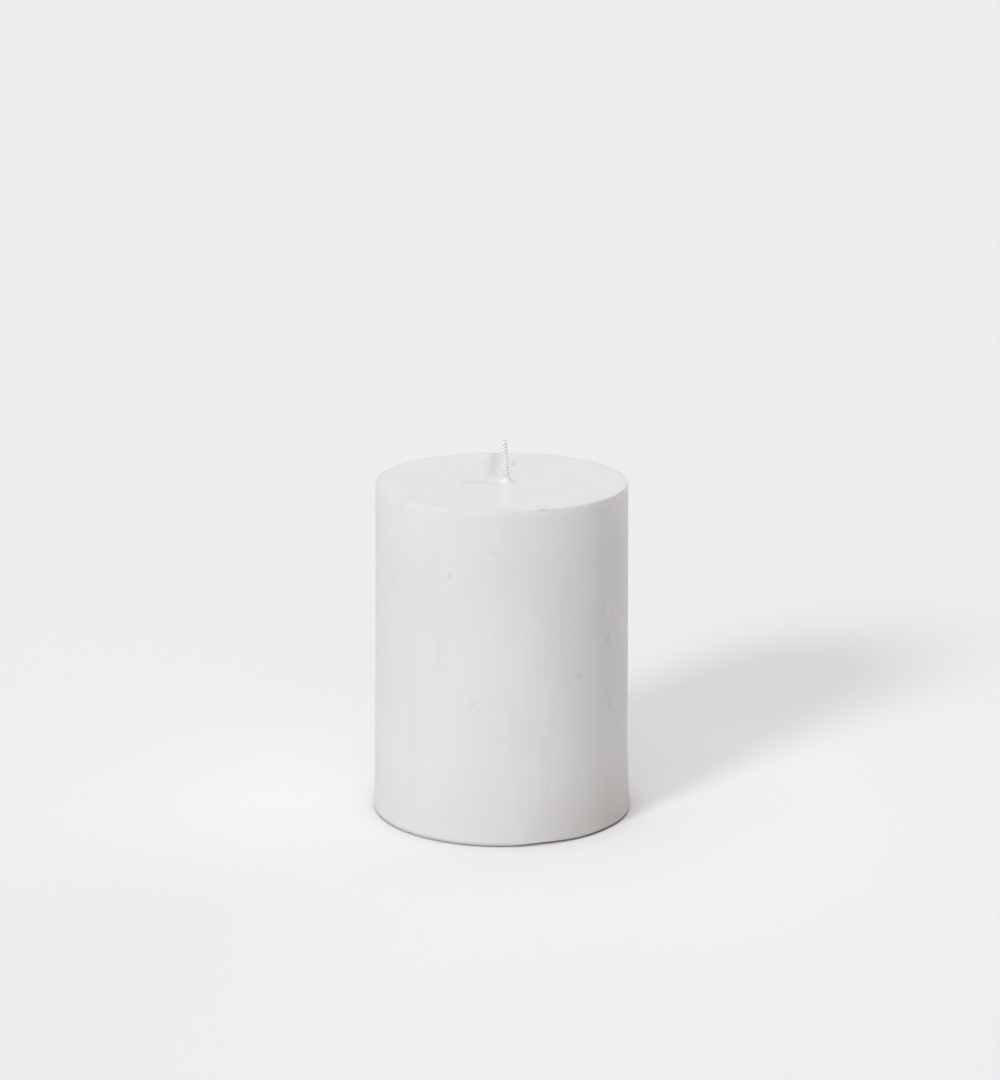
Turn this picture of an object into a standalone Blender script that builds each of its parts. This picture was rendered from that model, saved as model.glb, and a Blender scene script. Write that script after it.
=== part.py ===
"""Unity candle: a short, plain, white wax pillar with one braided wick, built as its separate pieces.

Metres, +Z up. The origin is the centre of the base, on the surface that the candle stands on, and the front faces -Y.

A pressed wax core is drilled through for the wick. A coat of harder wax, put on by dipping, covers its side and top.
The wick is a flat braid of three cotton plaits. It starts in the neck of a stamped sustainer, which sits in a recess
in the core's base, drifts a little to one side on its way up, and stands free above the top.
"""

import math

import bpy

MM = 0.001

# Wax body: a turned pillar that widens a little from rim to foot.
BODY_HEIGHT = 100.0 * MM
RIM_SIDE_RADIUS = 37.3 * MM
FOOT_SIDE_RADIUS = 38.2 * MM
RIM_ROUND = 1.3 * MM
FOOT_ROUND = 0.8 * MM
FOOT_SWELL = 0.4 * MM
FOOT_SWELL_HEIGHT = 8.0 * MM

# The dipped coat, and the gap that keeps neighbouring pieces apart.
COAT_THICKNESS = 1.4 * MM
GAP = 0.3 * MM

# Wick: a flat braid whose centre line leans one way inside the wax and the other way above it.
WICK_LENGTH_ABOVE = 12.0 * MM
WICK_FOOT = 0.6 * MM
WICK_DRIFT = 1.7 / 98.0
WICK_LEAN = -0.075
WICK_BEND_START = 98.5 * MM
WICK_BEND_LENGTH = 1.2 * MM
PLAIT_COUNT = 3
PLAIT_RADIUS = 0.21 * MM
BRAID_PITCH = 3.0 * MM
BRAID_HALF_WIDTH = 0.72 * MM
BRAID_HALF_DEPTH = 0.50 * MM
POINTS_PER_PITCH = 6

# Sustainer: a disc and a neck stamped from one sheet.
SHEET = 0.25 * MM
DISC_RADIUS = 8.0 * MM
DISC_LIFT = 0.55 * MM
NECK_RADIUS = 1.40 * MM
NECK_TOP = 4.0 * MM
NECK_BEND = 0.5 * MM

TURN_STEPS = 96
SMALL_TURN_STEPS = 48
MERGE_DISTANCE = 0.00001

WICK_TOP = BODY_HEIGHT + WICK_LENGTH_ABOVE
CORE_TOP = BODY_HEIGHT - COAT_THICKNESS - GAP
BORE_RADIUS = BRAID_HALF_WIDTH + PLAIT_RADIUS + GAP
RECESS_RADIUS = DISC_RADIUS + GAP
RECESS_TOP = DISC_LIFT + SHEET / 2 + GAP
NECK_CLEARANCE_RADIUS = NECK_RADIUS + SHEET / 2 + GAP
NECK_CLEARANCE_TOP = NECK_TOP + GAP


def clear_scene():
    for thing in list(bpy.data.objects):
        bpy.data.objects.remove(thing, do_unlink=True)


def new_collection(name):
    collection = bpy.data.collections.new(name)
    bpy.context.scene.collection.children.link(collection)
    return collection


def new_material(name, colour, roughness, metallic=0.0):
    material = bpy.data.materials.new(name)
    material.use_nodes = True
    shader = material.node_tree.nodes["Principled BSDF"]
    shader.inputs["Base Color"].default_value = (*colour, 1.0)
    shader.inputs["Roughness"].default_value = roughness
    shader.inputs["Metallic"].default_value = metallic
    return material


def arc(centre_r, centre_z, radius, start_deg, end_deg, steps):
    """Points of an arc in the (radius, height) plane, both ends included."""
    points = []
    for i in range(steps + 1):
        angle = math.radians(start_deg + (end_deg - start_deg) * i / steps)
        points.append((centre_r + radius * math.cos(angle), centre_z + radius * math.sin(angle)))
    return points


def turned(name, profile, material, collection, steps=TURN_STEPS):
    """A body turned about Z from a profile of (radius, height) points."""
    mesh = bpy.data.meshes.new(name)
    vertices = [(radius, 0.0, height) for radius, height in profile]
    edges = [(i, i + 1) for i in range(len(profile) - 1)]
    mesh.from_pydata(vertices, edges, [])
    mesh.materials.append(material)
    body = bpy.data.objects.new(name, mesh)
    collection.objects.link(body)
    screw = body.modifiers.new("turn", "SCREW")
    screw.axis = "Z"
    screw.steps = steps
    screw.render_steps = steps
    screw.use_merge_vertices = True
    screw.merge_threshold = MERGE_DISTANCE
    screw.use_smooth_shade = True
    return body


def side_radius(height):
    """Outer radius of the wax's straight side, before the swell at its foot."""
    share = height / (BODY_HEIGHT - RIM_ROUND)
    return FOOT_SIDE_RADIUS + (RIM_SIDE_RADIUS - FOOT_SIDE_RADIUS) * share


def swollen_radius(height):
    """Outer radius near the foot, where the coat ran down and gathered."""
    share = max(0.0, 1.0 - height / FOOT_SWELL_HEIGHT)
    return side_radius(height) + FOOT_SWELL * share**2


def outer_profile():
    """The candle's outline, from the middle of its top down to the edge of its base."""
    points = [(0.0, BODY_HEIGHT)]
    points += arc(RIM_SIDE_RADIUS - RIM_ROUND, BODY_HEIGHT - RIM_ROUND, RIM_ROUND, 90, 0, 6)
    swell_steps = 4
    for i in range(swell_steps):
        share = i / swell_steps
        height = FOOT_SWELL_HEIGHT + (FOOT_ROUND - FOOT_SWELL_HEIGHT) * share
        points.append((swollen_radius(height), height))
    points += arc(swollen_radius(FOOT_ROUND) - FOOT_ROUND, FOOT_ROUND, FOOT_ROUND, 0, -90, 4)
    return points


def wick_centre(height):
    """X of the wick's centre line at a height."""
    drift = WICK_DRIFT * height
    run = max(0.0, height - WICK_BEND_START)
    turned_away = run - WICK_BEND_LENGTH * (1.0 - math.exp(-run / WICK_BEND_LENGTH))
    return drift + (WICK_LEAN - WICK_DRIFT) * turned_away


def wick_bore(name, low, high, collection):
    """A cutter along the wick's straight stretch between two heights."""
    length = high - low
    middle = (low + high) / 2
    bpy.ops.mesh.primitive_cylinder_add(
        vertices=SMALL_TURN_STEPS,
        radius=BORE_RADIUS,
        depth=length,
        location=(WICK_DRIFT * middle, 0.0, middle),
        rotation=(0.0, math.atan(WICK_DRIFT), 0.0),
    )
    cutter = bpy.context.object
    cutter.name = name
    cutter.display_type = "WIRE"
    cutter.hide_render = True
    for owner in list(cutter.users_collection):
        owner.objects.unlink(cutter)
    collection.objects.link(cutter)
    return cutter


def cut(body, cutter):
    boolean = body.modifiers.new("cut " + cutter.name, "BOOLEAN")
    boolean.operation = "DIFFERENCE"
    boolean.solver = "EXACT"
    boolean.object = cutter


def make_core(material, parts, cutters):
    """Pressed core: follows the outside at the coat's depth, recessed below for the sustainer."""
    depth = COAT_THICKNESS + GAP
    profile = [
        (0.0, CORE_TOP),
        (side_radius(CORE_TOP) - depth, CORE_TOP),
        (side_radius(0.0) - depth, 0.0),
        (RECESS_RADIUS, 0.0),
        (RECESS_RADIUS, RECESS_TOP),
        (NECK_CLEARANCE_RADIUS, RECESS_TOP),
        (NECK_CLEARANCE_RADIUS, NECK_CLEARANCE_TOP),
        (0.0, NECK_CLEARANCE_TOP),
    ]
    core = turned("wax_core", profile, material, parts)
    cut(core, wick_bore("core_bore", NECK_TOP, BODY_HEIGHT, cutters))


def make_coat(material, parts, cutters):
    """Dipped coat: side, rounded rim and top in one skin, open where the core's base shows."""
    profile = outer_profile()
    profile += [
        (side_radius(0.0) - COAT_THICKNESS, 0.0),
        (side_radius(CORE_TOP + GAP) - COAT_THICKNESS, CORE_TOP + GAP),
        (0.0, CORE_TOP + GAP),
    ]
    coat = turned("wax_overdip", profile, material, parts)
    cut(coat, wick_bore("coat_bore", CORE_TOP - GAP, BODY_HEIGHT + GAP, cutters))


def make_plait(index, material, parts):
    """One plait of the braid. All three follow the same figure, a third of a pitch apart."""
    curve = bpy.data.curves.new(f"wick_plait_{index + 1}", "CURVE")
    curve.dimensions = "3D"
    curve.bevel_depth = PLAIT_RADIUS
    curve.bevel_resolution = 1
    curve.use_fill_caps = True
    curve.materials.append(material)
    spacing = BRAID_PITCH / POINTS_PER_PITCH
    count = round((WICK_TOP - WICK_FOOT) / spacing) + 1
    spline = curve.splines.new("POLY")
    spline.points.add(count - 1)
    spline.use_smooth = True
    for i, point in enumerate(spline.points):
        height = WICK_FOOT + (WICK_TOP - WICK_FOOT) * i / (count - 1)
        turn = math.tau * ((i + 0.5) / POINTS_PER_PITCH + index / PLAIT_COUNT)
        across = BRAID_HALF_WIDTH * math.sin(turn)
        through = BRAID_HALF_DEPTH * math.sin(2 * turn)
        point.co = (wick_centre(height) + across, through, height, 1.0)
    plait = bpy.data.objects.new(curve.name, curve)
    parts.objects.link(plait)


def make_sustainer(material, parts):
    """Stamped sustainer: neck, bend and disc as one open profile, thickened to the sheet."""
    profile = [(NECK_RADIUS, NECK_TOP)]
    profile += arc(NECK_RADIUS + NECK_BEND, DISC_LIFT + NECK_BEND, NECK_BEND, 180, 270, 4)
    profile.append((DISC_RADIUS, DISC_LIFT))
    sustainer = turned("wick_sustainer", profile, material, parts, SMALL_TURN_STEPS)
    sheet = sustainer.modifiers.new("sheet", "SOLIDIFY")
    sheet.thickness = SHEET
    sheet.offset = 0.0


def main():
    clear_scene()
    parts = new_collection("unity_candle")
    cutters = new_collection("cutters")
    core_wax = new_material("core_wax", (0.80, 0.79, 0.77), 0.55)
    coat_wax = new_material("coat_wax", (0.84, 0.84, 0.83), 0.35)
    cotton = new_material("waxed_cotton", (0.83, 0.82, 0.79), 0.60)
    tinplate = new_material("tinplate", (0.62, 0.62, 0.60), 0.35, metallic=1.0)
    make_core(core_wax, parts, cutters)
    make_coat(coat_wax, parts, cutters)
    for index in range(PLAIT_COUNT):
        make_plait(index, cotton, parts)
    make_sustainer(tinplate, parts)


main()
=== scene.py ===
"""Unity candle, as it looks: a plain white wax pillar, dipped in harder wax, with one waxed, braided wick.

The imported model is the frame: its boxes give the sizes, in metres, +Z up, with the front facing -Y. Each
piece here replaces the plain solid of the same part with its finished surface, and the wick gets a film of
wax as well. The floor and the lights are a plain studio.
"""

import math

import bpy
from mathutils import Matrix, Vector, noise


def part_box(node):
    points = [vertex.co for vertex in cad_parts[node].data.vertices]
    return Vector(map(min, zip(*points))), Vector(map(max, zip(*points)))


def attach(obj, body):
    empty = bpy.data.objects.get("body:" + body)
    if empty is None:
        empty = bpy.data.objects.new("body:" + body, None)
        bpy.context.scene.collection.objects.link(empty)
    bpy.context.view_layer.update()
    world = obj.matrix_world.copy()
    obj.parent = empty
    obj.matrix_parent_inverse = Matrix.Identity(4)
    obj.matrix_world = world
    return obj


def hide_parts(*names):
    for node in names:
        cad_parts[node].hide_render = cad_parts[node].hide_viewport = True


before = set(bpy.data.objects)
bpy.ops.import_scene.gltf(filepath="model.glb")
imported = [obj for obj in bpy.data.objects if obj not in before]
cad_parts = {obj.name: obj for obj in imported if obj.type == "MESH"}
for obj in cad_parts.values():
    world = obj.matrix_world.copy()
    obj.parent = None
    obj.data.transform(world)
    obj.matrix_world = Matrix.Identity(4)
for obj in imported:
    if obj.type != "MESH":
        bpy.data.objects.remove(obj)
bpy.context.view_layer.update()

MM = 0.001
BODY = "root"

# Sizes read from the frame.
coat_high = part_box("wax_overdip")[1]
core_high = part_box("wax_core")[1]
plait_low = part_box("wick_plait_1")[0]
tin_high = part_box("wick_sustainer")[1]
TOP = coat_high.z
CORE_TOP = core_high.z
CORE_FOOT_RADIUS = core_high.x
WICK_START = plait_low.z
NECK_TOP = tin_high.z
DISC_RADIUS = tin_high.x

# Driving values of the wax body. Its cone, its coat and its gap are those of the solids.
RIM_SIDE_RADIUS = 37.3 * MM
FOOT_SIDE_RADIUS = 38.2 * MM
COAT_THICKNESS = 1.4 * MM
GAP = 0.3 * MM

# Finer shape of the coat: how far its side lies inside the cone, the swell and the round of its foot, and
# its rim, which has a slow bevel, an inset as far as its crown, a corner (sharper at a higher value) and a
# low ridge.
SKIN = 0.19 * MM
FOOT_SWELL = 0.58 * MM
FOOT_SWELL_HEIGHT = 22.0 * MM
FOOT_ROUND = 0.6 * MM
RIM_DROP = 1.3 * MM
RIM_BEVEL = 0.16 * MM
RIM_INSET = 0.55 * MM
RIM_CORNER = 3.4
RIM_RIDGE = 0.02 * MM

# Driving values of the wick and its foot. The core's bore is that of the solid.
WICK_LENGTH_ABOVE = 12.0 * MM
WICK_DRIFT = 1.4 / 98.0
WICK_LEAN = -0.075
WICK_BEND_START = 98.5 * MM
WICK_BEND_LENGTH = 1.2 * MM
BRAID_PITCH = 3.0 * MM
BRAID_HALF_WIDTH = 0.47 * MM
BRAID_HALF_DEPTH = 0.36 * MM
STRAND_RADIUS = 0.29 * MM
FILM = 0.18 * MM
BORE_RADIUS = 1.23 * MM
NECK_RADIUS = 1.40 * MM
NECK_BEND = 0.5 * MM
DISC_LIFT = 0.55 * MM
SHEET = 0.25 * MM
WICK_TIP = TOP + WICK_LENGTH_ABOVE
RECESS_RADIUS = DISC_RADIUS + GAP
RECESS_TOP = DISC_LIFT + SHEET / 2 + GAP
NECK_CLEARANCE = NECK_RADIUS + SHEET / 2 + GAP

# The coat's plain wax holds this tone, so that painted light can make some places paler than it.
PLAIN_TONE = 0.25

COAT_COLUMNS = 480
CORE_COLUMNS = 256
STRAND_COUNT = 3


# ---------------------------------------------------------------- helpers

def smooth(low, high, value):
    """0 below low, 1 above high, and a smooth rise between them."""
    share = min(1.0, max(0.0, (value - low) / (high - low)))
    return share * share * (3.0 - 2.0 * share)


def bell(distance, width):
    """1 at no distance, and a smooth fall to about a third at the width."""
    return math.exp(-((distance / width) ** 2))


def azimuth(angle, start=0.0):
    """Degrees to the right of the front, or of another start, for an angle about Z: from -180 to 180."""
    return (math.degrees(angle) + 90.0 - start + 180.0) % 360.0 - 180.0


def at(angle, radius, height, centre=0.0):
    """A point at an angle and a radius round a centre on X."""
    return (centre + radius * math.cos(angle), radius * math.sin(angle), height)


def wave(x, y, z, across, along):
    """Smooth noise from -1 to 1, with one wavelength across and another along Z."""
    return noise.noise(Vector((x / across, y / across, z / along)))


def line(start, end, steps):
    """Points after start up to end, evenly spaced."""
    return [tuple(a + (b - a) * i / steps for a, b in zip(start, end)) for i in range(1, steps + 1)]


def mesh_piece(name, rings, material, nodes=(), loop=True, tones=None):
    """A piece through rings with as many points each: rings joined in a loop, or a tube with two caps.

    The tones say how much painted shade each point gets, ring by ring, for the material to read; below the
    plain tone they are painted light.
    """
    count = len(rings[0])
    vertices = [point for ring in rings for point in ring]
    faces = []
    for i in range(len(rings) if loop else len(rings) - 1):
        near = i * count
        far = (i + 1) % len(rings) * count
        for j in range(count):
            k = (j + 1) % count
            faces.append((near + j, near + k, far + k, far + j))
    if not loop:
        faces.append(tuple(reversed(range(count))))
        faces.append(tuple(range((len(rings) - 1) * count, len(rings) * count)))
    mesh = bpy.data.meshes.new(name)
    mesh.from_pydata(vertices, [], faces)
    mesh.materials.append(material)
    mesh.shade_smooth()
    mesh.set_sharp_from_angle(angle=math.radians(50))
    if tones:
        tone = mesh.attributes.new("tone", "FLOAT", "POINT")
        tone.data.foreach_set("value", [PLAIN_TONE + value for ring in tones for value in ring])
    piece = bpy.data.objects.new(name, mesh)
    bpy.context.scene.collection.objects.link(piece)
    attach(piece, BODY)
    if nodes:
        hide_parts(*nodes)
    return piece


# ---------------------------------------------------------------- wick line

def wick_centre(height):
    """X of the wick's centre line at a height."""
    run = max(0.0, height - WICK_BEND_START)
    turned_away = run - WICK_BEND_LENGTH * (1.0 - math.exp(-run / WICK_BEND_LENGTH))
    return WICK_DRIFT * height + (WICK_LEAN - WICK_DRIFT) * turned_away


WICK_FOOT_X = wick_centre(TOP)


def strand_centre(index, height):
    """Centre of one strand of the braid at a height."""
    turn = math.tau * ((height - WICK_START) / BRAID_PITCH + index / STRAND_COUNT)
    across = BRAID_HALF_WIDTH * math.sin(turn)
    through = BRAID_HALF_DEPTH * math.sin(2.0 * turn)
    return wick_centre(height) + across, through


# ---------------------------------------------------------------- dipped coat

# Small dents in the side: degrees to the right of the front, then height, half width, half height and depth
# in millimetres. A depth below nothing is a small run of wax that stands out.
DENTS = (
    (-23.7, 80.2, 0.7, 0.6, 0.16),
    (-57.3, 76.0, 0.8, 1.1, 0.08),
    (-3.7, 87.7, 0.6, 0.6, 0.08),
    (55.2, 66.7, 0.7, 1.6, -0.10),
    (55.2, 57.6, 0.7, 1.0, 0.18),
    (37.0, 49.3, 1.1, 0.6, 0.17),
    (-12.8, 42.8, 0.6, 0.9, 0.08),
    (56.8, 37.8, 0.6, 0.7, 0.14),
    (22.4, 16.2, 0.8, 1.0, -0.07),
    (35.3, 3.2, 0.5, 0.7, 0.12),
    (56.8, 96.9, 0.7, 0.7, 0.08),
    (128.0, 61.0, 0.9, 0.7, 0.14),
    (151.0, 22.0, 0.7, 1.3, -0.08),
    (178.0, 79.0, 0.8, 0.7, 0.13),
    (-152.0, 47.0, 0.7, 0.9, 0.14),
    (-118.0, 70.0, 0.8, 0.6, 0.12),
    (-98.0, 18.0, 1.0, 0.6, 0.12),
)


def side_radius(height):
    """Radius of the solid's cone, which narrows from the foot to the rim."""
    share = height / (TOP - RIM_DROP)
    return FOOT_SIDE_RADIUS + (RIM_SIDE_RADIUS - FOOT_SIDE_RADIUS) * share


def swollen_radius(angle, height):
    """Radius of the side, with the swell of the foot, which is fuller on the right than on the left."""
    share = max(0.0, 1.0 - height / FOOT_SWELL_HEIGHT)
    return side_radius(height) + FOOT_SWELL * (1.0 + 0.4 * math.cos(angle)) * share**2


def side_relief(angle, height):
    """How far the coat's side stands out from the solid's cone, which runs along the tops of its lumps."""
    x = FOOT_SIDE_RADIUS * math.cos(angle)
    y = FOOT_SIDE_RADIUS * math.sin(angle)
    out = 0.10 * MM * wave(x, y, height, 26.0 * MM, 42.0 * MM)
    out += 0.035 * MM * wave(x + 0.5, y, height, 7.0 * MM, 95.0 * MM)
    out += 0.018 * MM * wave(x, y + 0.5, height, 2.8 * MM, 60.0 * MM)
    out += 0.006 * MM * wave(x, y, height + 0.5, 1.3 * MM, 5.0 * MM)
    return out - SKIN - dent_depth(angle, height)


def dent_depth(angle, height):
    """Depth of the dents in the side at a place; less than nothing where a run of wax stands out."""
    depth = 0.0
    for centre, level, half_width, half_height, deepest in DENTS:
        rise = height / MM - level
        if abs(rise) < 3.0 * half_height:
            aside = math.radians(azimuth(angle, centre)) * FOOT_SIDE_RADIUS / MM
            if abs(aside) < 3.0 * half_width:
                depth += deepest * MM * bell(aside, half_width) * bell(rise, half_height)
    return depth


def side_painted_light(angle, height):
    """Painted shade on the side: in dents, along the foot's contact line and towards the foot, most on the
    right; painted light on runs of wax and under the rim.
    """
    aside = azimuth(angle)
    # Painted shade towards the foot, most at the right of the front.
    foot = (0.08 + 0.24 * bell(aside - 58.0, 42.0)) * (1.0 - smooth(0.0, 24.0 * MM, height))
    # Painted shade along the foot where it meets the floor.
    edge = 0.7 * (1.0 - smooth(0.5 * MM, 1.1 * MM, height))
    # Painted glow under the rim, most on the right: light through the wax, painted as paler wax.
    painted_glow = (0.05 + 0.17 * bell(aside - 72.0, 34.0)) * smooth(80.0 * MM, 98.0 * MM, height)
    # Painted shade in the dents, and painted light on the runs of wax that stand out.
    return foot + edge - painted_glow + 2.0 * dent_depth(angle, height) / MM


SIDE_TOP = TOP - RIM_DROP
SHOULDER = side_radius(SIDE_TOP)
WICK_HOLE = 0.45 * MM


def foot_relief(angle, height):
    """The bead of wax along the foot, uneven along its way."""
    x = FOOT_SIDE_RADIUS * math.cos(angle)
    y = FOOT_SIDE_RADIUS * math.sin(angle)
    uneven = 0.5 + 0.9 * wave(x, y, 0.3, 9.0 * MM, 1.0) + 0.4 * wave(x, y, 0.7, 2.6 * MM, 1.0)
    return 0.16 * MM * max(0.0, uneven) * bell(height - 1.1 * MM, 0.6 * MM)


def crease(x, y):
    """1 along a crease that runs to the left of the wick, and 0 away from it."""
    along = smooth(-13.5 * MM, -10.0 * MM, x) * (1.0 - smooth(-3.5 * MM, -1.0 * MM, x))
    along *= 0.75 + 0.6 * noise.noise(Vector((x / (2.2 * MM), 0.0, 3.3)))
    bent = y + 1.6 * MM + 0.06 * x + 0.9 * MM * noise.noise(Vector((x / (4.0 * MM), 0.0, 5.1)))
    return along * bell(bent, 1.6 * MM)


def trough(x, y):
    """1 along a shallow trough that runs from the crease to the back, and 0 away from it."""
    uneven = 0.95 + 0.25 * noise.noise(Vector((x / (1.5 * MM), y / (9.0 * MM), 7.7)))
    fading = smooth(3.0 * MM, 10.0 * MM, y) * (0.65 + 0.35 * smooth(8.0 * MM, 26.0 * MM, y))
    return uneven * fading * bell(x + 3.15 * MM - 0.033 * y, 1.6 * MM)


def pit(x, y):
    """1 in the middle of a pit behind the wick, and 0 away from it."""
    return bell(math.hypot(x - 3.7 * MM, 0.25 * (y - 23.0 * MM)), 0.75 * MM)


def painted_reflection_and_highlight(x, y):
    """1 along a painted reflection of the wick in front of it and painted highlights beside its foot, and 0
    away from them.
    """
    # Painted reflection of the wick, in front of its foot.
    front = bell(x - WICK_FOOT_X + 0.1 * MM, 1.4 * MM)
    front *= smooth(-34.0 * MM, -22.0 * MM, y)
    front *= 1.0 - smooth(-1.0 * MM, 1.0 * MM, y)
    # Painted highlight along a thin line to the left of the wick's foot.
    left = bell(y - 0.6 * MM, 1.1 * MM) * smooth(-4.5 * MM, -2.5 * MM, x) * (1.0 - smooth(0.0, 1.5 * MM, x))
    # Painted highlight on the left of the wick's foot.
    foot = bell(math.hypot(x - WICK_FOOT_X + 1.3 * MM, 0.5 * (y + 0.8 * MM)), 1.1 * MM)
    return front + 0.8 * left + 0.2 * foot


def top_painted_light(x, y):
    """Painted shade on the top: in its crease, trough and pit, and a painted shadow right of the wick;
    painted light by the wick.
    """
    # Painted shadow of the wick, to the right of its foot.
    painted_wick_shadow = bell(math.hypot(x - WICK_FOOT_X - 2.2 * MM, 0.7 * (y + 1.6 * MM)), 1.8 * MM)
    # Painted shade in the crease, the trough and the pit, and the wick's painted shadow beside its foot.
    dark = 0.36 * crease(x, y) + 0.40 * trough(x, y) + 0.34 * pit(x, y) + 0.20 * painted_wick_shadow
    # The wick's painted reflection and highlights make the top paler there.
    return dark - 0.14 * painted_reflection_and_highlight(x, y)


def foot_lift(angle):
    """How far the coat's lower edge stands off the surface: most at the right of the front."""
    aside = azimuth(angle)
    uneven = 0.06 * noise.noise(Vector((5.0 * math.cos(angle), 5.0 * math.sin(angle), 8.2)))
    lift = 0.18 + uneven + 0.62 * bell(aside - 19.0, 11.0) + 0.40 * bell(aside - 58.0, 24.0)
    return lift * MM


def top_relief(x, y):
    """Height of the top over its own level: a shallow dip round the wick, soft waves, and its hollows."""
    aside = x - WICK_FOOT_X
    away = math.hypot(aside, y)
    out = -0.30 * MM * bell(away, 16.0 * MM)
    out += 0.05 * MM * wave(x, y, 1.7, 11.0 * MM, 1.0)
    out += 0.018 * MM * wave(x, y, 2.9, 3.5 * MM, 1.0)
    from_axis = math.hypot(x, y)
    out += 0.008 * MM * math.sin(math.tau * from_axis / (2.2 * MM)) * smooth(18.0 * MM, 30.0 * MM, from_axis)
    out -= 0.09 * MM * crease(x, y) + 0.08 * MM * trough(x, y) + 0.30 * MM * pit(x, y)
    return out


def collar(away):
    """Wax drawn up the wick, by distance from the wick's centre."""
    return 1.5 * MM * math.exp(-max(0.0, away - 0.7 * MM) / (0.62 * MM))


def rim_uneven(angle):
    """How far the rim's crown is pushed in, from place to place."""
    x = math.cos(angle)
    y = math.sin(angle)
    soft = 0.16 * MM * noise.noise(Vector((3.0 * x, 3.0 * y, 4.1)))
    sharp = 0.05 * MM * noise.noise(Vector((16.0 * x, 16.0 * y, 6.3)))
    return soft + sharp


def rim_nick(angle):
    """A small nick in the front of the rim."""
    return 0.26 * MM * bell(azimuth(angle, 18.1), 1.9)


def rim_painted_shade(angle, height):
    """Painted shade on the rim: along its corner, and in its nick."""
    return (0.28 + 1.4 * rim_nick(angle) / MM) * smooth(TOP - 0.9 * MM, TOP - 0.3 * MM, height)


def coat_ring(place, tone=lambda angle, point: 0.0):
    """One ring of the coat, from a point for each angle, and the tone of painted shade and light at each
    point.
    """
    angles = [math.tau * j / COAT_COLUMNS for j in range(COAT_COLUMNS)]
    ring = [place(angle) for angle in angles]
    return ring, [tone(angle, point) for angle, point in zip(angles, ring)]


def foot_rings():
    """The coat's lower edge, rounded under its bead."""
    rings = []
    steps = 8
    for i in range(steps):
        turn = math.radians(-90.0 + 90.0 * i / steps)
        height = FOOT_ROUND * (1.0 + math.sin(turn))
        inset = FOOT_ROUND * (1.0 - math.cos(turn))
        blend = i / steps

        def foot(angle):
            out = blend * (side_relief(angle, FOOT_ROUND) + foot_relief(angle, height))
            return at(angle, swollen_radius(angle, FOOT_ROUND) - inset + out, height + foot_lift(angle))

        rings.append(coat_ring(foot, lambda angle, point: side_painted_light(angle, point[2])))
    return rings


def side_rings():
    """The side, which settles from the lifted foot to its own level within a few millimetres."""
    rings = []
    steps = 132
    for i in range(steps):
        height = FOOT_ROUND + (SIDE_TOP - FOOT_ROUND) * i / steps

        def side(angle):
            out = side_relief(angle, height) + foot_relief(angle, height)
            lift = foot_lift(angle) * (1.0 - smooth(FOOT_ROUND, 4.0 * MM, height))
            return at(angle, swollen_radius(angle, height) + out, height + lift)

        rings.append(coat_ring(side, lambda angle, point: side_painted_light(angle, point[2])))
    return rings


def rim_rings():
    """The rim: a slow bevel that turns in through a tight corner."""
    rings = []
    steps = 14
    for i in range(steps + 1):
        turn = math.radians(90.0 * i / steps)
        share = i / steps
        rise = math.sin(turn) ** (2.0 / RIM_CORNER)
        corner = 1.0 - max(0.0, math.cos(turn)) ** (2.0 / RIM_CORNER)
        inset = RIM_BEVEL * rise * rise + (RIM_INSET - RIM_BEVEL) * corner

        def rim(angle):
            out = side_relief(angle, SIDE_TOP) * (1.0 - share)
            pushed = rim_uneven(angle) * math.sin(turn) + rim_nick(angle) * math.sin(2.0 * turn)
            height = SIDE_TOP + (RIM_DROP + RIM_RIDGE) * rise - max(0.0, pushed) * 0.5
            return at(angle, SHOULDER - inset + out - pushed * 0.6, height)

        def tone(angle, point):
            # The side's painted shade and light, with the rim's painted shade.
            return side_painted_light(angle, point[2]) + rim_painted_shade(angle, point[2])

        rings.append(coat_ring(rim, tone))
    return rings


def top_rings():
    """The top, from the rim's crown in to the wick. The rings' centre moves from the axis to the wick."""
    rings = []
    crown = SHOULDER - RIM_INSET
    steps = 40
    for i in range(1, steps + 1):
        share = i / steps
        radius = WICK_HOLE + (crown - WICK_HOLE) * (1.0 - share) ** 1.45
        centre = WICK_FOOT_X * smooth(0.0, 0.8, share)
        ridge = RIM_RIDGE * bell(crown - radius, 1.1 * MM)

        def top(angle):
            edge = rim_uneven(angle) * bell(crown - radius, 2.5 * MM)
            x, y, height = at(angle, radius - edge * 0.6, TOP, centre)
            away = math.hypot(x - WICK_FOOT_X, y)
            height += ridge + top_relief(x, y) - max(0.0, edge) * 0.5 + collar(away)
            return (x, y, height)

        rings.append(coat_ring(top, lambda angle, point: top_painted_light(point[0], point[1])))
    return rings


def inner_rings():
    """The coat's hidden face: down round the wick, out under its top, and down its inner side."""
    under_top = CORE_TOP + GAP
    inner_side = RIM_SIDE_RADIUS - COAT_THICKNESS
    inner_foot = FOOT_SIDE_RADIUS - COAT_THICKNESS
    places = [(WICK_HOLE, under_top + 0.4 * MM, WICK_FOOT_X), (WICK_HOLE, under_top, WICK_FOOT_X)]
    for radius in (6.0 * MM, 16.0 * MM, 26.0 * MM, inner_side - 0.5 * MM, inner_side):
        places.append((radius, under_top, WICK_FOOT_X * (1.0 - radius / inner_side)))
    for radius, height in line((inner_side, under_top), (inner_foot, 0.0), 6):
        places.append((radius, height, 0.0))
    return [coat_ring(lambda angle, place=place: at(angle, *place)) for place in places]


def coat_rings():
    """Rings of the coat and their tones of painted shade and light: up its side, over its top, round the wick
    and back down inside.
    """
    pairs = foot_rings() + side_rings() + rim_rings() + top_rings() + inner_rings()
    return [ring for ring, _ in pairs], [tones for _, tones in pairs]


# ---------------------------------------------------------------- pressed core

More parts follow.
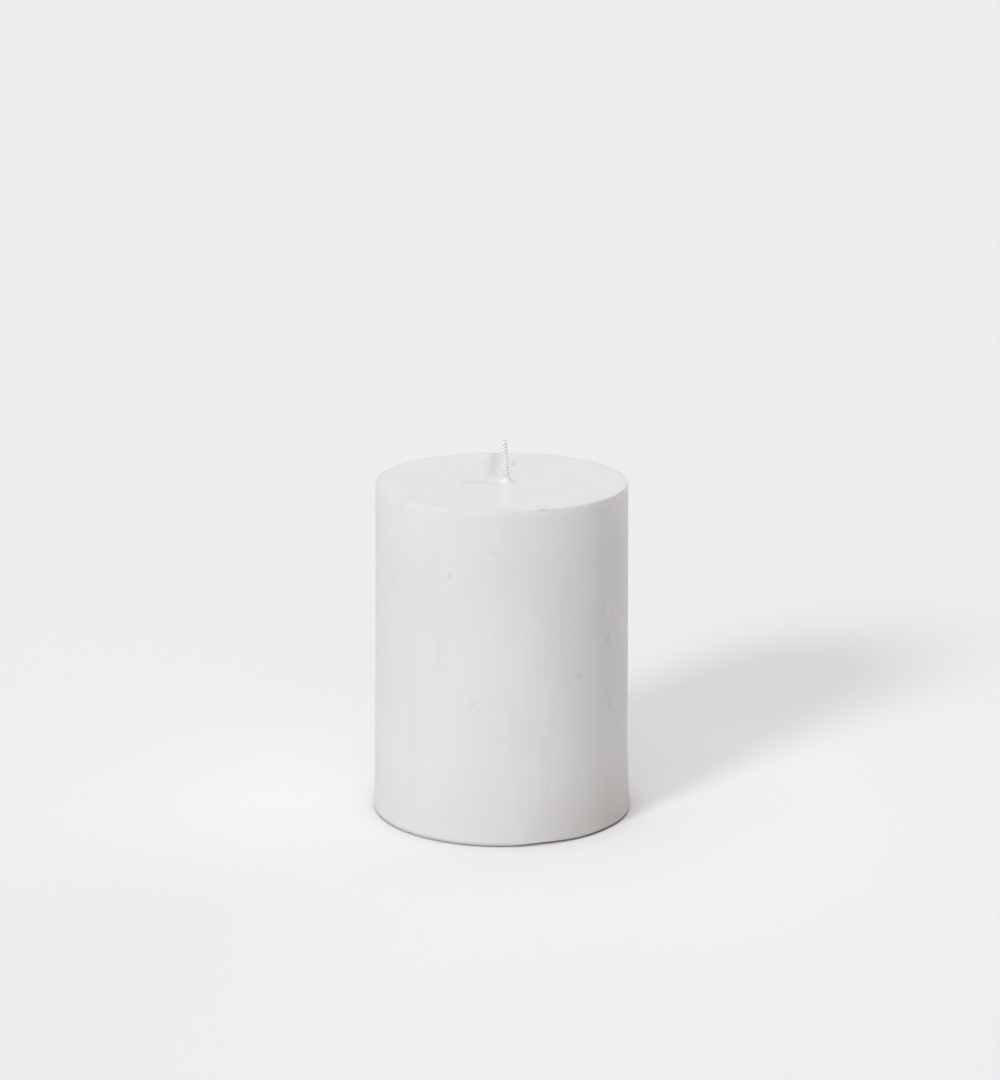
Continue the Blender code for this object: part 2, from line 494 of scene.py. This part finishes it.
def base_relief(x, y):
    """How far the core's base is hollowed upwards: the grain of the pressed wax and the press's rings."""
    away = math.hypot(x, y)
    grain = 0.5 + 0.5 * noise.noise(Vector((x, y, 0.1)) / (1.5 * MM))
    fine = 0.5 + 0.5 * noise.noise(Vector((x, y, 0.4)) / (0.7 * MM))
    out = 0.06 * MM * grain + 0.03 * MM * fine
    for ring in (14.0 * MM, 30.0 * MM):
        out += 0.25 * MM * bell(away - ring, 0.45 * MM)
    return out


def core_rings():
    """Rings of the core: out over its base, up its side, over its top, down its bore and round its recess."""
    rings = []
    angles = [math.tau * j / CORE_COLUMNS for j in range(CORE_COLUMNS)]

    def ring(radius, height, centre=0.0):
        return [at(angle, radius, height, centre) for angle in angles]

    def base_ring(radius):
        points = ring(radius, 0.0)
        edge = bell(radius - RECESS_RADIUS, 0.5 * MM) + bell(radius - CORE_FOOT_RADIUS, 0.5 * MM)
        return [(x, y, base_relief(x, y) * (1.0 - min(1.0, edge))) for x, y, _ in points]

    chamfer = 0.4 * MM
    base_steps = 60
    for i in range(base_steps + 1):
        radius = RECESS_RADIUS + chamfer + (CORE_FOOT_RADIUS - RECESS_RADIUS - 2.0 * chamfer) * i / base_steps
        rings.append(base_ring(radius))
    inner_depth = COAT_THICKNESS + GAP
    side_steps = 12
    for i in range(side_steps + 1):
        height = chamfer + (CORE_TOP - 2.0 * chamfer) * i / side_steps
        rings.append(ring(side_radius(height) - inner_depth, height))
    rings.append(ring(side_radius(CORE_TOP) - inner_depth - chamfer, CORE_TOP))
    for radius, centre in ((24.0 * MM, 0.0), (10.0 * MM, WICK_FOOT_X / 2), (BORE_RADIUS, WICK_FOOT_X)):
        rings.append(ring(radius, CORE_TOP, centre))
    bore_steps = 8
    for i in range(1, bore_steps + 1):
        height = CORE_TOP + (NECK_TOP + GAP - CORE_TOP) * i / bore_steps
        rings.append(ring(BORE_RADIUS, height, WICK_DRIFT * height))
    rings.append(ring(NECK_CLEARANCE, NECK_TOP + GAP))
    rings.append(ring(NECK_CLEARANCE, RECESS_TOP + 0.3 * MM))
    rings.append(ring(NECK_CLEARANCE + 0.3 * MM, RECESS_TOP))
    rings.append(ring(RECESS_RADIUS - 0.2 * MM, RECESS_TOP))
    rings.append(ring(RECESS_RADIUS, RECESS_TOP - 0.2 * MM))
    rings.append(ring(RECESS_RADIUS, chamfer))
    return rings


# ---------------------------------------------------------------- wick

def strand_rings(index):
    """Rings of one strand: five yarns laid round each other, pressed a little flat where strands cross."""
    yarns = 5
    lay = 2.6 * MM
    pressed = 0.92
    sides = 20
    step = 0.25 * MM
    count = round((WICK_TIP - WICK_START) / step)
    rings = []
    for i in range(count + 1):
        height = WICK_START + (WICK_TIP - WICK_START) * i / count
        x, y = strand_centre(index, height)
        twist = math.tau * height / lay
        ring = []
        for j in range(sides):
            turn = math.tau * j / sides
            radius = STRAND_RADIUS * (1.0 + 0.07 * math.cos(yarns * turn - twist))
            ring.append((x + radius * math.cos(turn), y + radius * pressed * math.sin(turn), height))
        rings.append(ring)
    return rings


def film_reach(height, turn):
    """Distance from the wick's centre line to the outside of its wax, in one direction.

    The wax ends where a field that falls off round each strand comes to 1, looking from outside.
    """
    centre = wick_centre(height)
    strands = [strand_centre(index, height) for index in range(STRAND_COUNT)]
    reach = STRAND_RADIUS + FILM
    outer = BRAID_HALF_WIDTH + STRAND_RADIUS + 6.0 * FILM
    steps = 60

    def field(away):
        x = centre + away * math.cos(turn)
        y = away * math.sin(turn)
        return sum(math.exp(1.0 - ((x - a) ** 2 + (y - b) ** 2) / reach**2) for a, b in strands)

    distances = [outer * (1.0 - i / steps) for i in range(steps)]
    return next(away for away in distances if field(away) >= 1.0)


def film_rings():
    """Rings of the wax on the free end of the wick, from inside the collar to just under the cut end."""
    sides = 72
    inside_collar = 0.8 * MM
    bare_tip = 0.35 * MM
    low = TOP - inside_collar
    high = WICK_TIP - bare_tip
    step = 0.12 * MM
    count = round((high - low) / step)
    rings = []
    for i in range(count + 1):
        height = low + (high - low) * i / count
        centre = wick_centre(height)
        ring = []
        for j in range(sides):
            turn = math.tau * j / sides
            away = film_reach(height, turn)
            away += 0.02 * MM * wave(math.cos(turn) * MM, math.sin(turn) * MM, height, 0.7 * MM, 1.2 * MM)
            ring.append((centre + away * math.cos(turn), away * math.sin(turn), height))
        rings.append(ring)
    # The wax rounds off under the cut end.
    last = rings[-1]
    centre = wick_centre(high)
    for share, rise in ((0.92, 0.07 * MM), (0.78, 0.11 * MM), (0.5, 0.13 * MM)):
        rings.append([(centre + (x - centre) * share, y * share, high + rise) for x, y, _ in last])
    return rings


# ---------------------------------------------------------------- sustainer

def sustainer_profile():
    """The sheet's middle line, as (radius, height): down the neck, round the bend and out along the disc."""
    neck_steps = 14
    bend_steps = 6
    disc_steps = 44
    profile = []
    for i in range(neck_steps + 1):
        profile.append((NECK_RADIUS, NECK_TOP - (NECK_TOP - DISC_LIFT - NECK_BEND) * i / neck_steps))
    for i in range(1, bend_steps + 1):
        turn = math.radians(180.0 + 90.0 * i / bend_steps)
        radius = NECK_RADIUS + NECK_BEND * (1.0 + math.cos(turn))
        profile.append((radius, DISC_LIFT + NECK_BEND * (1.0 + math.sin(turn))))
    return profile + line((NECK_RADIUS + NECK_BEND, DISC_LIFT), (DISC_RADIUS, DISC_LIFT), disc_steps)


def neck_crimp(turn, height):
    """How far the neck is pressed in: the pinch that flattens two sides, and the crimping tool's marks."""
    squeeze = smooth(1.3 * MM, 2.6 * MM, height)
    pinch = 0.30 * MM * squeeze * abs(math.sin(turn)) ** 3
    mark = 0.06 * MM * squeeze * bell(math.sin(2.0 * turn), 0.25)
    return pinch, mark


def disc_relief(turn, radius):
    """How far the disc stands up or down: a ring groove, six ribs and a turned edge."""
    rise = -0.10 * MM * bell(radius - 5.6 * MM, 0.5 * MM)
    rib = abs(math.sin(3.0 * turn)) ** 12
    rise += 0.10 * MM * rib * smooth(2.4 * MM, 3.0 * MM, radius) * (1.0 - smooth(4.2 * MM, 4.9 * MM, radius))
    rise -= 0.08 * MM * smooth(DISC_RADIUS - 0.5 * MM, DISC_RADIUS, radius)
    return rise


def sustainer_rings():
    """The stamped sheet's middle surface: crimped neck, bend, and a disc with ribs and a turned edge."""
    sides = 144
    flat = DISC_LIFT + 0.01 * MM
    rings = []
    for radius, height in sustainer_profile():
        ring = []
        for j in range(sides):
            turn = math.tau * j / sides
            pinch, mark = neck_crimp(turn, height)
            rise = disc_relief(turn, radius) if height < flat else 0.0
            reach = radius - pinch - mark
            ring.append((reach * math.cos(turn), reach * math.sin(turn), height + rise))
        rings.append(ring)
    return rings


def make_sustainer(material):
    """The stamped sheet, given its thickness about its middle surface."""
    rings = sustainer_rings()
    count = len(rings[0])
    vertices = [point for ring in rings for point in ring]
    faces = []
    for i in range(len(rings) - 1):
        for j in range(count):
            k = (j + 1) % count
            faces.append((i * count + j, (i + 1) * count + j, (i + 1) * count + k, i * count + k))
    mesh = bpy.data.meshes.new("stamped_sustainer")
    mesh.from_pydata(vertices, [], faces)
    mesh.materials.append(material)
    mesh.shade_smooth()
    piece = bpy.data.objects.new("stamped_sustainer", mesh)
    bpy.context.scene.collection.objects.link(piece)
    sheet = piece.modifiers.new("sheet", "SOLIDIFY")
    sheet.thickness = SHEET
    sheet.offset = 0.0
    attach(piece, BODY)
    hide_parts("wick_sustainer")


# ---------------------------------------------------------------- materials

class Nodes:
    """Short calls for building a material's node tree."""

    def __init__(self, name):
        self.material = bpy.data.materials.new(name)
        self.material.use_nodes = True
        self.tree = self.material.node_tree
        self.shader = self.tree.nodes["Principled BSDF"]
        self.place = self.tree.nodes.new("ShaderNodeTexCoord").outputs["Object"]

    def link(self, out, into):
        self.tree.links.new(out, into)

    def scaled(self, across, along):
        """Object coordinates, with one wavelength across and another along Z."""
        mapping = self.tree.nodes.new("ShaderNodeMapping")
        mapping.inputs["Scale"].default_value = (1.0 / across, 1.0 / across, 1.0 / along)
        self.link(self.place, mapping.inputs["Vector"])
        return mapping.outputs["Vector"]

    def noise(self, across, along, detail=2.0, roughness=0.5):
        node = self.tree.nodes.new("ShaderNodeTexNoise")
        node.inputs["Scale"].default_value = 1.0
        node.inputs["Detail"].default_value = detail
        node.inputs["Roughness"].default_value = roughness
        self.link(self.scaled(across, along), node.inputs["Vector"])
        return node.outputs["Fac"]

    def cells(self, size):
        node = self.tree.nodes.new("ShaderNodeTexVoronoi")
        node.inputs["Scale"].default_value = 1.0
        self.link(self.scaled(size, size), node.inputs["Vector"])
        return node.outputs["Distance"]

    def reading(self, name):
        """A value that the mesh holds, from 0 to 1."""
        node = self.tree.nodes.new("ShaderNodeAttribute")
        node.attribute_name = name
        return node.outputs["Fac"]

    def spread(self, value, from_low, from_high, to_low, to_high):
        node = self.tree.nodes.new("ShaderNodeMapRange")
        node.interpolation_type = "SMOOTHSTEP"
        node.inputs["From Min"].default_value = from_low
        node.inputs["From Max"].default_value = from_high
        node.inputs["To Min"].default_value = to_low
        node.inputs["To Max"].default_value = to_high
        self.link(value, node.inputs["Value"])
        return node.outputs["Result"]

    def maths(self, operation, one, two):
        node = self.tree.nodes.new("ShaderNodeMath")
        node.operation = operation
        for socket, value in zip(node.inputs, (one, two)):
            if isinstance(value, (int, float)):
                socket.default_value = value
            else:
                self.link(value, socket)
        return node.outputs["Value"]

    def blend(self, share, one, two):
        """A colour between one and two, which are colours or colour outputs."""
        node = self.tree.nodes.new("ShaderNodeMix")
        node.data_type = "RGBA"
        node.clamp_factor = True
        self.link(share, node.inputs["Factor"])
        for socket, value in ((node.inputs[6], one), (node.inputs[7], two)):
            if isinstance(value, tuple):
                socket.default_value = (*value, 1.0)
            else:
                self.link(value, socket)
        return node.outputs[2]

    def bump(self, height, distance, strength=1.0, under=None):
        node = self.tree.nodes.new("ShaderNodeBump")
        node.inputs["Strength"].default_value = strength
        node.inputs["Distance"].default_value = distance
        self.link(height, node.inputs["Height"])
        if under is not None:
            self.link(under, node.inputs["Normal"])
        return node.outputs["Normal"]

    def set(self, **values):
        for name, value in values.items():
            self.shader.inputs[name.replace("_", " ")].default_value = value


def wax_depth(nodes, scale, reach=(1.0, 0.85, 0.72)):
    """Light that travels through wax, a little further in red unless reach says otherwise."""
    nodes.set(Subsurface_Weight=0.75, Subsurface_Radius=reach, Subsurface_Scale=scale, IOR=1.44)


def dip_wax():
    """Hard white wax: soft clouds, faint streaks down the side, a few specks, and the painted shade and light
    that its mesh holds.
    """
    nodes = Nodes("dip_wax")
    cloudy = nodes.spread(nodes.noise(22 * MM, 34 * MM, 3.0), 0.3, 0.7, 0.0, 1.0)
    streaks = nodes.spread(nodes.noise(2.6 * MM, 60 * MM, 4.0, 0.6), 0.40, 0.72, 0.0, 1.0)
    patches = nodes.spread(nodes.noise(15 * MM, 28 * MM, 2.0), 0.42, 0.62, 0.0, 0.55)
    base = nodes.blend(cloudy, (0.882, 0.875, 0.871), (0.914, 0.907, 0.903))
    base = nodes.blend(nodes.maths("MULTIPLY", streaks, patches), base, (0.845, 0.835, 0.830))
    specks = nodes.spread(nodes.cells(6.5 * MM), 0.035, 0.055, 1.0, 0.0)
    base = nodes.blend(nodes.maths("MULTIPLY", specks, 0.35), base, (0.62, 0.60, 0.58))
    # Painted shade and painted light, read from the mesh's tones, towards this grey.
    base = nodes.blend(nodes.reading("tone"), base, (0.52, 0.505, 0.49))
    nodes.link(base, nodes.shader.inputs["Base Color"])
    gloss = nodes.noise(9 * MM, 40 * MM, 4.0)
    nodes.link(nodes.spread(gloss, 0.3, 0.7, 0.36, 0.48), nodes.shader.inputs["Roughness"])
    grain = nodes.noise(0.55 * MM, 0.9 * MM, 3.0)
    skin = nodes.noise(1.6 * MM, 14 * MM, 2.0)
    normal = nodes.bump(grain, 0.012 * MM)
    normal = nodes.bump(skin, 0.03 * MM, under=normal)
    nodes.link(normal, nodes.shader.inputs["Normal"])
    wax_depth(nodes, 2.0 * MM)
    return nodes.material


def core_wax():
    """Pressed wax: duller, with the beads that it was pressed from still to be seen."""
    nodes = Nodes("core_wax")
    grains = nodes.cells(1.3 * MM)
    tone = nodes.spread(grains, 0.1, 0.7, 0.0, 1.0)
    base = nodes.blend(tone, (0.84, 0.835, 0.82), (0.74, 0.73, 0.71))
    nodes.link(base, nodes.shader.inputs["Base Color"])
    dull = nodes.noise(4 * MM, 4 * MM, 3.0)
    nodes.link(nodes.spread(dull, 0.3, 0.7, 0.48, 0.66), nodes.shader.inputs["Roughness"])
    normal = nodes.bump(grains, 0.10 * MM, 0.7)
    normal = nodes.bump(nodes.noise(0.4 * MM, 0.4 * MM, 3.0), 0.02 * MM, under=normal)
    nodes.link(normal, nodes.shader.inputs["Normal"])
    wax_depth(nodes, 2.0 * MM)
    return nodes.material


def film_wax():
    """The same wax, thin over cotton, so a little greyer; darker still as painted shade for the shadow that
    the wick no longer throws on itself.
    """
    nodes = Nodes("film_wax")
    tone = nodes.spread(nodes.noise(0.6 * MM, 0.6 * MM, 3.0), 0.3, 0.7, 0.0, 1.0)
    # Partly wax over cotton, partly painted shade: these greys stand in for the wick's own shadow.
    base = nodes.blend(tone, (0.760, 0.757, 0.751), (0.805, 0.802, 0.796))
    nodes.link(base, nodes.shader.inputs["Base Color"])
    gloss = nodes.noise(0.8 * MM, 0.8 * MM, 2.0)
    nodes.link(nodes.spread(gloss, 0.3, 0.7, 0.34, 0.50), nodes.shader.inputs["Roughness"])
    nodes.link(nodes.bump(nodes.noise(0.18 * MM, 0.3 * MM, 3.0), 0.02 * MM), nodes.shader.inputs["Normal"])
    wax_depth(nodes, 1.8 * MM, reach=(1.0, 1.0, 1.0))
    return nodes.material


def cotton():
    """Undyed cotton yarn, soaked in wax, with fibres along it."""
    nodes = Nodes("waxed_cotton")
    fibres = nodes.noise(0.07 * MM, 0.5 * MM, 3.0, 0.6)
    share = nodes.spread(fibres, 0.3, 0.7, 0.0, 1.0)
    base = nodes.blend(share, (0.62, 0.60, 0.55), (0.84, 0.82, 0.77))
    nodes.link(base, nodes.shader.inputs["Base Color"])
    nodes.link(nodes.spread(fibres, 0.3, 0.7, 0.72, 0.55), nodes.shader.inputs["Roughness"])
    nodes.link(nodes.bump(fibres, 0.03 * MM), nodes.shader.inputs["Normal"])
    nodes.set(Sheen_Weight=0.25, Sheen_Roughness=0.5)
    return nodes.material


def tinplate():
    """Bright tin plate, mottled and finely scratched, with smears of wax."""
    nodes = Nodes("tinplate")
    mottle = nodes.spread(nodes.noise(0.9 * MM, 0.9 * MM, 4.0), 0.3, 0.7, 0.0, 1.0)
    base = nodes.blend(mottle, (0.56, 0.56, 0.55), (0.68, 0.68, 0.67))
    smear = nodes.spread(nodes.noise(3.0 * MM, 3.0 * MM, 3.0), 0.58, 0.70, 0.0, 1.0)
    base = nodes.blend(smear, base, (0.78, 0.775, 0.76))
    nodes.link(base, nodes.shader.inputs["Base Color"])
    nodes.link(nodes.spread(smear, 0.0, 1.0, 1.0, 0.15), nodes.shader.inputs["Metallic"])
    scratches = nodes.noise(0.08 * MM, 1.0 * MM, 3.0)
    nodes.link(nodes.spread(scratches, 0.3, 0.7, 0.24, 0.44), nodes.shader.inputs["Roughness"])
    nodes.link(nodes.bump(scratches, 0.006 * MM), nodes.shader.inputs["Normal"])
    return nodes.material


# ---------------------------------------------------------------- studio

ROOM_SEEN = 0.863
ROOM_MIRRORED = 0.684
FLOOR_RADIUS = 30.0

# The camera's lens, its tilt and roll in degrees, and its place from the middle of the candle.
LENS = 103.88
TILT = 14.44
ROLL = 0.08
CAMERA_LEFT = 0.50 * MM
CAMERA_UP = 31.0 * MM
CAMERA_BACK = 927.5 * MM


def floor_material():
    """Matt paper, all but even."""
    nodes = Nodes("floor_paper")
    tone = nodes.spread(nodes.noise(4 * MM, 4 * MM, 3.0), 0.3, 0.7, 0.0, 1.0)
    base = nodes.blend(tone, (0.859, 0.859, 0.859), (0.863, 0.863, 0.863))
    nodes.link(base, nodes.shader.inputs["Base Color"])
    nodes.set(Roughness=1.0, Specular_IOR_Level=0.0)
    return nodes.material


def make_floor():
    """A disc so wide that its edge is never seen."""
    sides = 64
    points = [(0.0, 0.0, 0.0)]
    for j in range(sides):
        turn = math.tau * j / sides
        points.append((FLOOR_RADIUS * math.cos(turn), FLOOR_RADIUS * math.sin(turn), 0.0))
    faces = [(0, 1 + j, 1 + (j + 1) % sides) for j in range(sides)]
    mesh = bpy.data.meshes.new("floor")
    mesh.from_pydata(points, [], faces)
    mesh.materials.append(floor_material())
    floor = bpy.data.objects.new("floor", mesh)
    bpy.context.scene.collection.objects.link(floor)


def make_world():
    """A pale room, as bright as the floor. The lamps do its lighting, so it only shows and mirrors."""
    world = bpy.data.worlds.new("studio")
    world.use_nodes = True
    tree = world.node_tree
    tree.nodes.clear()
    path = tree.nodes.new("ShaderNodeLightPath")
    parts = []
    for ray, strength in (("Is Camera Ray", ROOM_SEEN), ("Is Glossy Ray", ROOM_MIRRORED)):
        part = tree.nodes.new("ShaderNodeMath")
        part.operation = "MULTIPLY"
        part.inputs[1].default_value = strength
        tree.links.new(path.outputs[ray], part.inputs[0])
        parts.append(part)
    total = tree.nodes.new("ShaderNodeMath")
    total.operation = "ADD"
    for part, socket in zip(parts, total.inputs):
        tree.links.new(part.outputs["Value"], socket)
    background = tree.nodes.new("ShaderNodeBackground")
    background.inputs["Color"].default_value = (1.0, 1.0, 1.0, 1.0)
    tree.links.new(total.outputs["Value"], background.inputs["Strength"])
    out = tree.nodes.new("ShaderNodeOutputWorld")
    tree.links.new(background.outputs["Background"], out.inputs["Surface"])
    bpy.context.scene.world = world


def make_sun(name, bearing, elevation, angle, strength, colour=(1.0, 1.0, 1.0)):
    """A distant soft light that isn't mirrored in the wax. Its bearing is to the right of the front."""
    data = bpy.data.lights.new(name, "SUN")
    data.energy = strength
    data.color = colour
    data.angle = math.radians(angle)
    lamp = bpy.data.objects.new(name, data)
    lamp.visible_glossy = False
    bpy.context.scene.collection.objects.link(lamp)
    turn = math.radians(bearing)
    rise = math.radians(elevation)
    towards = Vector((math.sin(turn) * math.cos(rise), -math.cos(turn) * math.cos(rise), math.sin(rise)))
    lamp.rotation_mode = "QUATERNION"
    lamp.rotation_quaternion = towards.to_track_quat("Z", "Y")


def make_camera():
    """At the photograph's angle: a long lens, a little above the rim, all but level."""
    data = bpy.data.cameras.new("camera")
    data.sensor_width = 36.0
    data.lens = LENS
    data.clip_end = 100.0
    tilt = math.radians(TILT)
    roll = math.radians(ROLL)
    right = Vector((1.0, 0.0, 0.0))
    up = Vector((0.0, math.sin(tilt), math.cos(tilt)))
    forward = Vector((0.0, math.cos(tilt), -math.sin(tilt)))
    rolled_right = math.cos(roll) * right + math.sin(roll) * up
    rolled_up = math.cos(roll) * up - math.sin(roll) * right
    middle = Vector((0.0, 0.0, TOP / 2))
    place = middle - CAMERA_LEFT * rolled_right + CAMERA_UP * rolled_up - CAMERA_BACK * forward
    camera = bpy.data.objects.new("camera", data)
    bpy.context.scene.collection.objects.link(camera)
    turned = Matrix((rolled_right, rolled_up, -forward)).transposed()
    camera.matrix_world = Matrix.LocRotScale(place, turned, None)
    bpy.context.scene.camera = camera


# ---------------------------------------------------------------- assembly

def make_candle():
    """Every piece, each in place of its solid. The wick's film of wax has no solid of its own."""
    rings, tones = coat_rings()
    mesh_piece("dipped_coat", rings, dip_wax(), ["wax_overdip"], tones=tones)
    mesh_piece("pressed_core", core_rings(), core_wax(), ["wax_core"])
    # The thin waxed wick lets the soft light through, so its strands and its film throw no shadow on the top.
    strand_material = cotton()
    for index in range(STRAND_COUNT):
        name = f"wick_strand_{index + 1}"
        nodes = [f"wick_plait_{index + 1}"]
        strand = mesh_piece(name, strand_rings(index), strand_material, nodes, loop=False)
        strand.visible_shadow = False
    film = mesh_piece("wick_wax", film_rings(), film_wax(), loop=False)
    film.visible_shadow = False
    make_sustainer(tinplate())


def make_studio():
    """The floor, the room and soft lights, each with a bearing, an elevation and a width in degrees."""
    make_floor()
    make_world()
    make_sun("key", -37.0, 27.0, 14.0, 1.43, (0.975, 1.005, 1.02))
    make_sun("overhead", 0.0, 90.0, 12.0, 0.73, (0.982, 1.0, 1.006))
    make_sun("overhead_wide", -70.0, 84.0, 60.0, 1.12, (0.982, 1.0, 1.006))
    make_sun("back", 180.0, 60.0, 40.0, 0.302)
    make_sun("front", 0.0, 30.0, 60.0, 0.50, (1.0, 0.865, 0.845))
    make_sun("right_back", 135.0, 20.0, 40.0, 0.49, (1.0, 0.81, 0.77))
    bpy.context.scene.view_settings.view_transform = "Standard"


make_candle()
make_studio()
make_camera()
